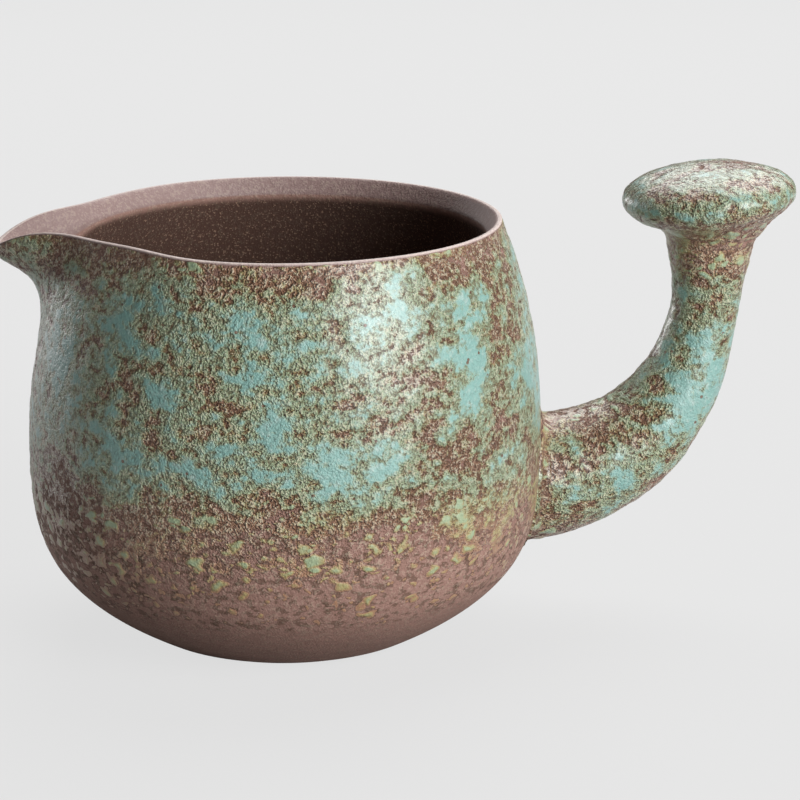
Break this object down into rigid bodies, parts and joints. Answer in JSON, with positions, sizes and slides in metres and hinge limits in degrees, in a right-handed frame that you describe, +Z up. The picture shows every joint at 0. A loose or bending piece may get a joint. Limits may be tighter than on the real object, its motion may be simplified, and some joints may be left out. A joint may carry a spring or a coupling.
{
  "type": "tea pitcher",
  "caption": "Round-bellied stoneware tea pitcher with a pulled spout and a hollow side handle that curves up to a mushroom knob.",
  "frame": {"origin": "on the vessel's axis, in the plane of the foot that it stands on", "axes": "+Z up along the vessel's axis, +X towards the handle, the spout towards -X"},
  "size_m": [0.1372, 0.088, 0.0793],
  "materials": {
    "mottled_glaze": "semi-matt crawled glaze, turquoise and olive over brown, thinning to bare clay near the foot",
    "bare_clay": "matt unglazed purple-brown stoneware"
  },
  "bodies": {
    "root": {"vessel": "mottled_glaze", "root_slip": "bare_clay", "handle_stem": "mottled_glaze", "neck_slip": "bare_clay", "handle_knob": "mottled_glaze"}
  },
  "joints": []
}
